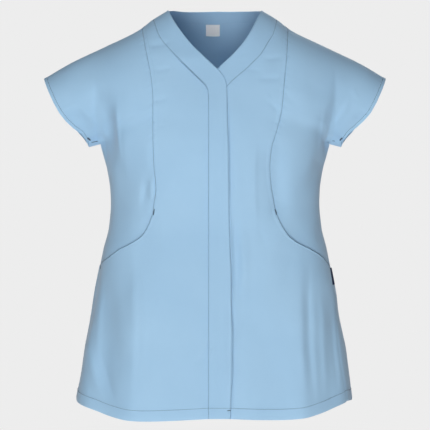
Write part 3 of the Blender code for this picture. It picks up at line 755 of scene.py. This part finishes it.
def hem_wall(bottom, turn, single=CLOTH):
    """The cloth's thickness, more where the hem is turned up."""
    return single + (HEM_CLOTH - single) * within(bottom, turn, WALL_SOFT)


def above(rows, row, soft):
    """1 for the rows above a given one and 0 below, as a column."""
    return within(np.arange(rows), row, soft)[:, None]


def side_front(side, material):
    """The side front with its cap sleeve, which runs on down behind the pocket mouth."""
    inner = seam_points(PRINCESS[side], PRINCESS_ROWS, -SEAM_LAP)
    pocket = [(float(smooth(POCKET_INNER, z)) - SEAM_LAP, z) for z in POCKET_ROWS]
    inner = np.concatenate([inner, refined([tuple(inner[-1]), *pocket])[1:]])
    down_to_pocket = [z for z in SIDE_ROWS if z >= POCKET_BOTTOM]
    down_side = side_points(side, [ARMPIT[1], *down_to_pocket])
    outer = np.concatenate([refined(cuff_points(CUFF_FRONT)), down_side])
    x, z, _ = around(inner, outer, shares(SIDE_COLUMNS), top=ridge)
    points, outward = cloth("front", SIGN[side] * x, z)
    left, right, top, _ = distances(points)
    on_cuff = above(len(x), *CUFF_FADE)
    lift = rolled(left) + drawn_in(left, top)
    lift = lift + on_cuff * (hem_lift(right, CUFF_TURN) - rolled(right))
    lift = lift + on_cuff * pressed(right, CUFF_TURN)
    wall = CLOTH + on_cuff * (hem_wall(right, CUFF_TURN) - CLOTH)
    garment_piece("front_side_" + side, points, outward, lift, wall, material)


def centre_front(side, material):
    """The centre front, which widens to the side seam below the pocket mouth."""
    inner = seam_points(BAND_SEAM[side], BAND_ROWS, -SEAM_LAP)
    outer = seam_points(PRINCESS[side], PRINCESS_ROWS, SEAM_LAP)
    below_mouth = [z for z in SIDE_ROWS if z < MOUTH_END]
    mouth = refined([tuple(outer[-1]), *mouth_points(side)], curved=True)
    below = side_points(side, [MOUTH_END, *below_mouth])
    outer = np.concatenate([outer, mouth[1:], below])
    x, z, _ = around(inner, outer, shares(CENTRE_COLUMNS), ridge, hem)
    points, outward = cloth("front", SIGN[side] * x, z)
    left, right, top, bottom = distances(points)
    mouth_rows = len(outer) - len(below)
    sewn = above(len(x), mouth_rows, MOUTH_FADE)
    lift = pocket_lift(x, z) + rolled(left) * SEWN_ROLL + rolled(right)
    lift = lift + sewn * (turning(right) + pressed(right, TOPSTITCH))
    lift = lift + sewn * drawn_in(right, top)
    lift = lift + BAND_PUCKER * drawn_in(left, top + PUCKER_SHIFT)
    lift = lift + hem_lift(bottom, HEM_TURN)
    wall = hem_wall(bottom, HEM_TURN)
    node = "front_centre_" + side
    garment_piece(node, points, outward, lift, wall, material)
    MADE[node]["mouth_rows"] = mouth_rows


def front_band(side, material):
    """The strip of neckband and placket; the right one laps over the left one."""
    seam = seam_points(BAND_SEAM[side], BAND_ROWS, SEAM_LAP)
    top_rows = (len(SHOULDER_DROPS) - 1) * FINE + 1
    edge_x = smooth(BAND_EDGE[side], seam[:, 1], 1)
    edge_z = smooth(BAND_EDGE[side], seam[:, 1], 2)
    drops = refined([[d] for d in SHOULDER_DROPS])[:, 0]
    blend = ramp(np.arange(top_rows), 0, top_rows - 1)
    on_ridge = ridge(edge_x[:top_rows]) - drops
    edge_z[:top_rows] = on_ridge * (1 - blend) + edge_z[:top_rows] * blend
    edge = np.stack([edge_x, edge_z], axis=1)
    seam = np.stack([SIGN[side] * seam[:, 0], seam[:, 1]], axis=1)
    x, z = between(edge, seam, shares(BAND_COLUMNS), top=ridge)
    points, outward = cloth("front", x, z)
    left, right, top, bottom = distances(points)
    lift = rolled(left) * BAND_ROLL + rolled(right) * SEWN_ROLL
    lift = lift + pressed(right, TOPSTITCH) + STIFF_PUCKER * drawn_in(right, top)
    lift = lift + turning(left, *FACING) + hem_lift(bottom, HEM_TURN)
    if side == "right":
        lift = lift + LAP_HEIGHT * ramp(-z, *LAP_RISE)
        gape, (width, deep) = smooth(PLACKET_GAPE, z), PLACKET_ROLL
        lift = lift + gape * bell(left, PLACKET_LOOSE)
        lift = lift + rolled(left, width, np.minimum(gape, deep))
    node = "front_band_" + side
    wall = hem_wall(bottom, HEM_TURN, BAND_CLOTH)
    garment_piece(node, points, outward, lift, wall, material)


def back_neckband(material):
    """The band across the back neck, from shoulder to shoulder."""
    share = np.concatenate([-NECK_SHARES[:0:-1], NECK_SHARES])
    edge_x, seam_x = NECK_POINT * share, BAND_END * share
    edge_z = smooth(BACK_EDGE, np.abs(edge_x))
    seam_z = smooth(BACK_SEAM, np.abs(seam_x)) - 2 * SEAM_LAP
    for ends, at_x in ((edge_z, edge_x), (seam_z, seam_x)):
        ends[[0, -1]] = ridge(at_x[[0, -1]])
    edge, seam = np.stack([edge_x, edge_z], axis=1), np.stack([seam_x, seam_z], axis=1)
    fine_edge, fine_seam = refined(edge, 3), refined(seam, 3)
    x, z = between(fine_edge, fine_seam, shares(NECKBAND_COLUMNS), top=ridge, bottom=ridge)
    points, outward = cloth("back", x, z)
    left, right, _, _ = distances(points)
    lift = rolled(left) * BAND_ROLL + rolled(right) * SEWN_ROLL
    lift = lift + pressed(right, TOPSTITCH)
    garment_piece("back_neckband", points, outward, lift, BAND_CLOTH, material)


def back_half(side, columns):
    """Points and outward directions of one half of the back, from the middle to the seams."""
    top = [back_top(0) - CUFF_DROP * drop for drop in SHOULDER_DROPS]
    inner = refined([(0.0, float(z)) for z in top] + [(0.0, z) for z in BACK_ROWS])
    down_side = refined([[z] for z in (ARMPIT[1], *SIDE_ROWS)])[1:, 0]
    outer = np.stack([smooth(BODY, down_side), down_side], axis=1)
    outer = np.concatenate([refined(cuff_points(CUFF_BACK)), outer])
    last = np.full(len(outer), math.pi / 2)
    last[-len(down_side) :] = math.pi - seam_angle(side, down_side)
    x, z, turn = around(inner, outer, columns, back_top, hem, last)
    x = SIGN[side] * x
    points, outward = cloth("back", x, z)
    past = turn > math.pi / 2 + TINY
    front_points, front_outward = cloth("front", x, z)
    points[past], outward[past] = front_points[past], front_outward[past]
    return points, outward


def back(material):
    """The back with both cap sleeves, in one piece."""
    neck = math.asin(BAND_END / CUFF_BACK[0][1]) / (math.pi / 2)  # so a column meets its end
    under, beside = BACK_COLUMNS
    columns = np.concatenate([np.linspace(0, neck, under), np.linspace(neck, 1, beside)[1:]])
    right_points, right_outward = back_half("right", columns)
    left_points, left_outward = back_half("left", columns)
    points = np.concatenate([right_points[:, ::-1], left_points[:, 1:]], axis=1)
    outward = np.concatenate([right_outward[:, ::-1], left_outward[:, 1:]], axis=1)
    left, right, top, bottom = distances(points)
    on_cuff = above(len(points), *CUFF_FADE)
    edge = np.minimum(left, right)
    lift = rolled(top) * SEWN_ROLL + hem_lift(bottom, HEM_TURN)
    lift = lift + on_cuff * hem_lift(edge, CUFF_TURN) + (1 - on_cuff) * rolled(edge)
    wall = hem_wall(bottom, HEM_TURN) + on_cuff * (hem_wall(edge, CUFF_TURN) - CLOTH)
    garment_piece("back", points, outward, lift, wall, material)


def neck_label(material):
    """The bare label that hangs from the neck seam on the inside of the back."""
    x, z = np.meshgrid(
        np.linspace(LABEL["low_x"], LABEL["high_x"], 27),
        np.linspace(LABEL["top"], LABEL["bottom"], 21),
    )
    points, outward = cloth("back", x, z)
    down = (LABEL["top"] - z) / (LABEL["top"] - LABEL["bottom"])
    clear, hang, bulge = LABEL_OFF
    across = (x - LABEL["low_x"]) / (LABEL["high_x"] - LABEL["low_x"])
    lift = CLOTH + clear + hang * down**2 + bulge * np.sin(math.pi * across) * down
    garment_piece("neck_label", points, -outward, lift, TAPE, material)


def side_tag(material):
    """The folded tag in the wearer's left side seam, which lies back along the side."""
    z, back_off = np.meshgrid(
        np.linspace(TAG["top"], TAG["bottom"], 31),
        np.linspace(0.0, TAG["clear"] + TAG["width"], 21),
    )
    forward = smooth(SEAM_FORWARD["left"], z) - back_off
    x = smooth(BODY, z) * section_root(forward / smooth(BODY, z, 2), z)
    points, outward = on_surface("front", x, z)
    share = back_off / (TAG["clear"] + TAG["width"])
    fold = arch((1 - share) / TAG_FOLD)
    lift = TAG_OFF[0] + TAG_OFF[1] * share**1.5 + TAG_OFF[2] * fold
    wall = TAPE + TAG_THICK * fold * ramp(share, 0, 0.2)
    garment_piece("side_tag", points, outward, lift, wall, material)


# ---- the stitches
THREAD_SIDES = 6
THREAD_RINGS = ((0.0, 0.30, -0.6), (0.14, 0.85, 0.2), (0.5, 1.0, 0.7), (0.86, 0.85, 0.2))
THREAD_RINGS += ((1.0, 0.30, -0.6),)


def threads(name, starts, ends, normals, radius, material):
    """Short rounded threads from starts to ends, one joined mesh."""
    starts, ends, normals = (np.asarray(a, float) for a in (starts, ends, normals))
    along = ends - starts
    length = norm(along, axis=1, keepdims=True)
    along = along / np.maximum(length, TINY)
    side = np.cross(along, normals)
    side /= norm(side, axis=1, keepdims=True)
    up = np.cross(side, along)
    angles = np.linspace(0, math.tau, THREAD_SIDES, endpoint=False)
    rings = []
    for share, thick, rise in THREAD_RINGS:
        middle = starts + (ends - starts) * share + up * radius * rise
        for angle in angles:
            reach = radius * thick
            rings.append(middle + reach * (math.cos(angle) * side + math.sin(angle) * up))
    per = len(rings)
    vertices = np.stack(rings, axis=1).reshape(-1, 3)
    faces = []
    for ring in range(len(THREAD_RINGS) - 1):
        for k in range(THREAD_SIDES):
            a, b = ring * THREAD_SIDES + k, ring * THREAD_SIDES + (k + 1) % THREAD_SIDES
            faces.append((a, b, b + THREAD_SIDES, a + THREAD_SIDES))
    base = np.arange(len(starts))[:, None, None] * per
    quads = (np.array(faces)[None] + base).reshape(-1, 4).tolist()
    caps = [list(range(THREAD_SIDES))[::-1], list(range(per - THREAD_SIDES, per))]
    ends_faces = (np.array(caps)[None] + base).reshape(-1, THREAD_SIDES).tolist()
    made = add_mesh(name, vertices, quads + ends_faces, material)
    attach(made, "root")


def edge_path(node, edge, away, rows=None):
    """Points and normals on a piece along one of its edges, at a distance from it."""
    piece = MADE[node]
    points, normals, far = piece["points"], piece["normals"], piece[edge]
    if edge in ("top", "bottom"):
        points, normals, far = (np.swapaxes(a, 0, 1) for a in (points, normals, far))
    out = []
    for row in range(*(rows or (0, len(points)))):
        order = np.argsort(far[row], kind="stable")
        d = far[row][order]
        at = np.clip(np.searchsorted(d, away), 1, len(d) - 1)
        s = np.clip((away - d[at - 1]) / max(d[at] - d[at - 1], TINY), 0, 1)
        near, next_one = order[at - 1], order[at]
        p = points[row, near] * (1 - s) + points[row, next_one] * s
        n = normals[row, near] * (1 - s) + normals[row, next_one] * s
        out.append((p, n / norm(n)))
    return np.array([p for p, _ in out]), np.array([n for _, n in out])


def stitched(paths):
    """Start, end and normal of each stitch along the given paths."""
    starts, ends, ups = [], [], []
    for points, normals in paths:
        far = np.concatenate([[0], np.cumsum(norm(np.diff(points, axis=0), axis=1))])
        count = max(1, int((far[-1] - STITCH_GAP) // (STITCH + STITCH_GAP)))
        pitch = far[-1] / count
        begin = (np.arange(count) + 0.5) * pitch - (pitch - STITCH_GAP) / 2
        for at, into in ((begin, starts), (begin + pitch - STITCH_GAP, ends)):
            into.append(np.stack([np.interp(at, far, points[:, k]) for k in range(3)], axis=1))
        mid = begin + (pitch - STITCH_GAP) / 2
        up = np.stack([np.interp(mid, far, normals[:, k]) for k in range(3)], axis=1)
        ups.append(up / norm(up, axis=1, keepdims=True))
        starts[-1] = starts[-1] + ups[-1] * STITCH_LIFT
        ends[-1] = ends[-1] + ups[-1] * STITCH_LIFT
    return np.concatenate(starts), np.concatenate(ends), np.concatenate(ups)


def nearest_on(node, x, z):
    """The point and the normal of a piece nearest to a front-view point."""
    piece = MADE[node]
    away = np.hypot(piece["points"][..., 0] - x, piece["points"][..., 2] - z)
    row, column = np.unravel_index(np.argmin(away), away.shape)
    return piece["points"][row, column], piece["normals"][row, column]


TACKS = [  # piece, x and z of the middle, x and z of its aim, length, width
    ("front_centre_right", -0.1090, -0.3690, -0.12, -1.0, 0.0105, 0.0020),
    ("front_centre_left", 0.1082, -0.3690, 0.10, -1.0, 0.0105, 0.0020),
    ("front_centre_right", -0.2080, -0.4700, -0.25, -1.0, 0.0090, 0.0018),
    ("front_centre_left", 0.2040, -0.4640, 0.30, -1.0, 0.0090, 0.0018),
    ("front_band_right", 0.0245, -0.7140, 1.0, 0.05, 0.0060, 0.0016),
    ("front_side_right", -0.2290, -0.2375, 0.55, -1.0, 0.0110, 0.0030),
    ("front_side_left", 0.2290, -0.2370, -0.55, -1.0, 0.0120, 0.0026),
    ("front_side_right", -0.2195, -0.2415, 1.0, -0.2, 0.0120, 0.0022),
    ("front_side_left", 0.2160, -0.2400, 1.0, 0.2, 0.0050, 0.0014),
]
TACK_PITCH = 0.00042
TACK_LEAN = 0.45  # of that pitch, to one side and the other in turn
TACK_LIFT = 0.0003
TACK_THREAD = 0.00026  # half thickness


def bar_tacks(material):
    """Dense bars of crosswise threads at the ends of openings."""
    starts, ends, ups = [], [], []
    for node, x, z, aim_x, aim_z, length, width in TACKS:
        point, normal = nearest_on(node, x, z)
        aim = np.array([aim_x, 0.0, aim_z])
        aim = aim - normal * np.dot(aim, normal)
        aim /= norm(aim)
        across = np.cross(aim, normal)
        count = int(length / TACK_PITCH)
        for k in range(count):
            middle = point + aim * (k - (count - 1) / 2) * TACK_PITCH + normal * TACK_LIFT
            lean = aim * TACK_PITCH * (TACK_LEAN if k % 2 else -TACK_LEAN)
            starts.append(middle - across * width / 2 - lean)
            ends.append(middle + across * width / 2 + lean)
            ups.append(normal)
    threads("bar_tacks", starts, ends, ups, TACK_THREAD, material)


def sew(navy, blue):
    """Every row of stitches: the piece and its edge, how far in, and from which row to which."""
    sides, bands = ("right", "left"), ("front_band_right", "front_band_left", "back_neckband")
    mouths = [(0, MADE["front_centre_" + side]["mouth_rows"]) for side in sides]
    hems = ("front_centre_right", "front_centre_left", "front_band_right", "back")
    cuffs = [("front_side_" + side, "right") for side in sides]
    cuffs += [("back", "left"), ("back", "right")]
    seams = {
        "princess_stitches": [
            ("front_centre_" + side, "right", TOPSTITCH, rows) for side, rows in zip(sides, mouths)
        ],
        "band_stitches": [(node, "right", BAND_STITCH, None) for node in bands],
        "hem_stitches": [(node, "bottom", HEM_TURN, None) for node in hems],
        "cuff_stitches": [(node, edge, CUFF_TURN, (2, CUFF_LAST)) for node, edge in cuffs],
        "edge_stitches": [(node, "left", EDGE_STITCH, None) for node in bands],
    }
    seams["edge_stitches"].append(("front_centre_left", "left", *UNDERLAP_STITCH))
    for name, rows in seams.items():
        on_edge = name == "edge_stitches"
        sewn = stitched([edge_path(*row) for row in rows])
        threads(name, *sewn, THREAD * (0.9 if on_edge else 1), blue if on_edge else navy)


# ---- the materials
SLUB_SHARE = 0.35  # of the colour's unevenness that comes from single threads
WEAVE_RELIEF = 0.00006


def set_inputs(node, **inputs):
    """Set a node's inputs by name, with _ for a space."""
    for key, value in inputs.items():
        node.inputs[key.replace("_", " ")].default_value = value
    return node


def nodes_of(name):
    """A new material, a way to link its nodes, its shader and a way to add nodes."""
    made = bpy.data.materials.new(name)
    made.use_nodes = True
    tree = made.node_tree

    def add(kind, **inputs):
        return set_inputs(tree.nodes.new("ShaderNode" + kind), **inputs)

    return made, tree.links.new, tree.nodes["Principled BSDF"], add


def tinted(add, link, amount, shade, colour, shader):
    """The shader's colour goes from shade to colour as amount goes from 0 to 1."""
    tint = add("Mix")
    tint.data_type = "RGBA"
    set_inputs(tint, A=(*shade, 1), B=(*colour, 1))
    link(amount, tint.inputs["Factor"])
    link(tint.outputs["Result"], shader.inputs["Base Color"])


def woven(name, colour, shade, thread=0.00048, sheen=0.25):
    """Plain-woven cloth: fine threads across and down, with soft uneven colour."""
    made, link, shader, add = nodes_of(name)
    place = add("UVMap")
    place.uv_map = "cloth"
    weave = add("Math")
    weave.operation = "MULTIPLY"
    for at, axis in enumerate(("X", "Y")):
        wave = add("TexWave", Scale=1.0 / thread / math.tau, Distortion=0.6, Detail_Scale=0.3)
        wave.wave_type = "BANDS"
        wave.bands_direction = axis
        wave.wave_profile = "SIN"
        link(place.outputs["UV"], wave.inputs["Vector"])
        link(wave.outputs["Fac"], weave.inputs[at])
    squeeze = add("Mapping", Scale=(1.0, 0.12, 1.0))
    slub = add("TexNoise", Scale=900.0, Detail=3.0, Roughness=0.6)
    link(place.outputs["UV"], squeeze.inputs["Vector"])
    link(squeeze.outputs["Vector"], slub.inputs["Vector"])
    cloud = add("TexNoise", Scale=9.0, Detail=3.0, Roughness=0.55)
    link(add("TexCoord").outputs["Object"], cloud.inputs["Vector"])
    uneven = add("Math")
    uneven.operation = "MULTIPLY_ADD"
    link(slub.outputs["Fac"], uneven.inputs[0])
    uneven.inputs[1].default_value = SLUB_SHARE
    link(cloud.outputs["Fac"], uneven.inputs[2])
    spread = add("MapRange", From_Min=0.42, From_Max=0.95)
    link(uneven.outputs[0], spread.inputs["Value"])
    tinted(add, link, spread.outputs["Result"], shade, colour, shader)
    relief = add("Bump", Strength=0.5, Distance=WEAVE_RELIEF)
    link(weave.outputs[0], relief.inputs["Height"])
    link(relief.outputs["Normal"], shader.inputs["Normal"])
    set_inputs(shader, Roughness=0.82, Sheen_Weight=sheen, Sheen_Roughness=0.5)
    set_inputs(shader, Specular_IOR_Level=0.25)
    return made


def thread_material(name, colour, shade):
    """Twisted sewing thread."""
    made, link, shader, add = nodes_of(name)
    twist = add("TexNoise", Scale=2500.0, Detail=2.0, Roughness=0.5)
    link(add("TexCoord").outputs["Object"], twist.inputs["Vector"])
    tinted(add, link, twist.outputs["Fac"], shade, colour, shader)
    set_inputs(shader, Roughness=0.6, Sheen_Weight=0.2)
    return made


# ---- the pieces, all of them
cloth_blue = woven("cloth", (0.375, 0.590, 0.800), (0.348, 0.560, 0.775))
band_blue = woven("band", (0.368, 0.580, 0.790), (0.340, 0.550, 0.765))
label_white = woven("label", (0.95, 0.95, 0.94), (0.90, 0.90, 0.90), thread=0.0004)
tag_navy = woven("tag", (0.014, 0.036, 0.120), (0.008, 0.022, 0.080), thread=0.0004, sheen=0.0)
navy_thread = thread_material("navy_thread", (0.022, 0.055, 0.120), (0.012, 0.032, 0.075))
blue_thread = thread_material("blue_thread", (0.300, 0.480, 0.660), (0.240, 0.410, 0.590))

for wearer_side in ("right", "left"):
    side_front(wearer_side, cloth_blue)
    centre_front(wearer_side, cloth_blue)
    front_band(wearer_side, band_blue)
back_neckband(band_blue)
back(cloth_blue)
neck_label(label_white)
side_tag(tag_navy)
sew(navy_thread, blue_thread)
bar_tacks(navy_thread)


# ---- the stage
MIDDLE = (0.0, 0.0, -(PIXELS / 2 - ORIGIN_ROW) * PIXEL)  # of the photograph, at the seams' plane
BACKGROUND = (0.847, 0.847, 0.847, 1)
FLOOR_BELOW = 2.4
FLOOR_SIZE = 14.0
FLOOR_GLOW = 0.24  # stands for the light of a bright studio, which the few lamps don't give
LIGHTS = {  # place, height of the point it faces, size, watts, colour
    "key": ((-0.30, -3.2, -1.10), -0.40, 1.4, 66.0, (1.0, 0.97, 0.94)),
    "high": ((-0.25, -1.9, 2.30), -0.35, 1.6, 38.0, (0.94, 0.98, 1.0)),
    "left": ((-3.0, -0.9, -0.4), -0.45, 1.4, 3.0, (0.40, 0.78, 1.0)),
    "right": ((3.0, -0.7, -0.3), -0.45, 1.4, 5.0, (0.95, 0.97, 1.0)),
    "rear": ((0.5, 3.2, 0.9), -0.40, 2.0, 88.0, (1.0, 1.0, 1.0)),
}


def area_light(name, place, aim, size, power, colour):
    """A soft square light that faces a point on the middle line."""
    light = bpy.data.lights.new(name, "AREA")
    light.shape = "SQUARE"
    light.size, light.energy, light.color = size, power, colour
    made = bpy.data.objects.new(name, light)
    made.location = place
    facing = Vector((0, 0, aim)) - Vector(place)
    made.rotation_euler = facing.to_track_quat("-Z", "Y").to_euler()
    bpy.context.scene.collection.objects.link(made)


def seen_as(tree, lit, seen, output):
    """Light the scene with one shader and show the camera another, an even pale one."""
    path, mix = tree.nodes.new("ShaderNodeLightPath"), tree.nodes.new("ShaderNodeMixShader")
    tree.links.new(path.outputs["Is Camera Ray"], mix.inputs["Fac"])
    tree.links.new(lit.outputs[0], mix.inputs[1])
    tree.links.new(seen.outputs[0], mix.inputs[2])
    tree.links.new(mix.outputs["Shader"], tree.nodes[output].inputs["Surface"])


def stage():
    """Pale floor, pale surroundings and soft lights."""
    bpy.ops.mesh.primitive_plane_add(size=FLOOR_SIZE, location=(0, 0, -FLOOR_BELOW))
    floor = bpy.context.object
    floor.name = "floor"
    made, _, shader, add = nodes_of("floor")
    set_inputs(shader, Base_Color=(0.90, 0.90, 0.90, 1), Roughness=0.9)
    set_inputs(shader, Emission_Color=(0.95, 0.97, 1.0, 1), Emission_Strength=FLOOR_GLOW)
    seen_as(made.node_tree, shader, add("Emission", Color=BACKGROUND), "Material Output")
    floor.data.materials.append(made)
    for name, light in LIGHTS.items():
        area_light(name, *light)
    world = bpy.data.worlds.new("studio")
    bpy.context.scene.world = world
    world.use_nodes = True
    tree = world.node_tree
    lit = set_inputs(
        tree.nodes.new("ShaderNodeBackground"), Color=(0.75, 0.90, 1.0, 1), Strength=0.02
    )
    seen = set_inputs(tree.nodes["Background"], Color=BACKGROUND)
    seen_as(tree, lit, seen, "World Output")
    bpy.context.scene.view_settings.view_transform = "Standard"


def camera():
    """The photograph's view: level, square, from the front."""
    made = bpy.data.cameras.new("camera")
    made.sensor_width = SENSOR
    made.lens = SENSOR * CAMERA_AWAY / (PIXELS * PIXEL)
    holder = bpy.data.objects.new("camera", made)
    holder.location = (0, -CAMERA_AWAY, MIDDLE[2])
    holder.rotation_euler = (math.radians(90), 0, 0)
    bpy.context.scene.collection.objects.link(holder)
    bpy.context.scene.camera = holder


stage()
camera()
